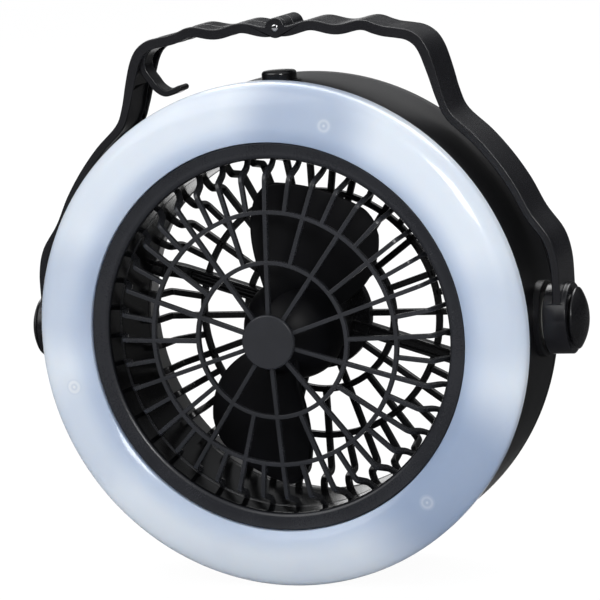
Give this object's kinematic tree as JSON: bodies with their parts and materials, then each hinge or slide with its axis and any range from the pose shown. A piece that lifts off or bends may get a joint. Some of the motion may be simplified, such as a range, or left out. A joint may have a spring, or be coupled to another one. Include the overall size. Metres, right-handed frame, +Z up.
{
  "type": "portable camping fan with ring lamp",
  "caption": "Round caged fan in a ring lamp housing, with a swinging carry handle, a fold-out hanging hook and a push button on top.",
  "frame": {"origin": "on the surface the fan stands on, under the middle of its bounding box", "axes": "+X towards the right-hand knob, +Y from the front grille to the back, +Z up"},
  "size_m": [0.232, 0.0792, 0.2226],
  "materials": {
    "diffuser": "frosted translucent diffuser with a soft sheen",
    "bezel_grey": "satin dark grey moulding",
    "grille_grey": "satin dark grey moulding",
    "grille_black": "semi-gloss black moulding",
    "shell_black": "fine-grained satin black moulding",
    "impeller_black": "semi-gloss black moulding",
    "handle_black": "satin charcoal moulding with light edges",
    "knob_black": "smooth semi-gloss black",
    "button_black": "smooth semi-gloss black",
    "pin_steel": "polished pin end",
    "screw_steel": "zinc-plated steel",
    "pad_rubber": "matt rubber",
    "board_white": "white solder-masked board",
    "board_green": "green solder-masked board",
    "led_yellow": "phosphor-coated package",
    "copper": "wound armature",
    "magnet": "ferrite arc magnets",
    "bush_bronze": "sintered bronze",
    "inner_black": "plain black moulding",
    "wire_black": "insulated wire",
    "switch_cream": "plain cream moulding",
    "cell_wrap": "plain shrink sleeve",
    "washer_nylon": "plain nylon"
  },
  "bodies": {
    "fan_body": {"front_lens": "diffuser", "lens_screws": "screw_steel", "front_bezel": "bezel_grey", "front_grille": "grille_grey", "led_board": "board_white", "leds": "led_yellow", "middle_housing": "shell_black", "rear_pads": "pad_rubber", "rear_cover": "shell_black", "rear_grille": "grille_black", "housing_screws": "screw_steel", "motor_can": "screw_steel", "motor_magnets": "magnet", "motor_end_cap": "inner_black", "motor_bushes": "bush_bronze", "motor_clamp": "screw_steel", "motor_screws": "screw_steel", "motor_wires": "wire_black", "switch_body": "inner_black", "switch_board": "board_green", "battery_cells": "cell_wrap", "battery_springs": "screw_steel", "battery_contacts": "screw_steel", "battery_door_left": "shell_black", "battery_door_right": "shell_black", "door_screws": "screw_steel", "pivot_screws": "screw_steel", "pivot_washers": "washer_nylon"},
    "fan_rotor": {"impeller": "impeller_black", "motor_shaft": "screw_steel", "motor_rotor": "copper"},
    "power_button": {"push_button": "button_black", "switch_plunger": "switch_cream"},
    "carry_handle": {"handle": "handle_black", "knob_left": "knob_black", "knob_right": "knob_black", "hook_pin": "pin_steel"},
    "hanging_hook": {"hook": "handle_black"}
  },
  "joints": [
    {"name": "impeller_spin", "type": "hinge", "parent": "fan_body", "child": "fan_rotor", "pos_m": [0, 0, 0.1], "axis": [0, 1, 0], "continuous": true},
    {"name": "button_press", "type": "slide", "parent": "fan_body", "child": "power_button", "axis": [0, 0, -1], "range_m": [0, 0.002], "stiffness_N_per_m": 800},
    {"name": "handle_swing", "type": "hinge", "parent": "fan_body", "child": "carry_handle", "pos_m": [0, 0.0066, 0.1], "axis": [-1, 0, 0], "range_deg": [-10, 135]},
    {"name": "hook_fold", "type": "hinge", "parent": "carry_handle", "child": "hanging_hook", "pos_m": [0, 0.0017, 0.2186], "axis": [0, 1, 0], "range_deg": [0, 90]}
  ]
}
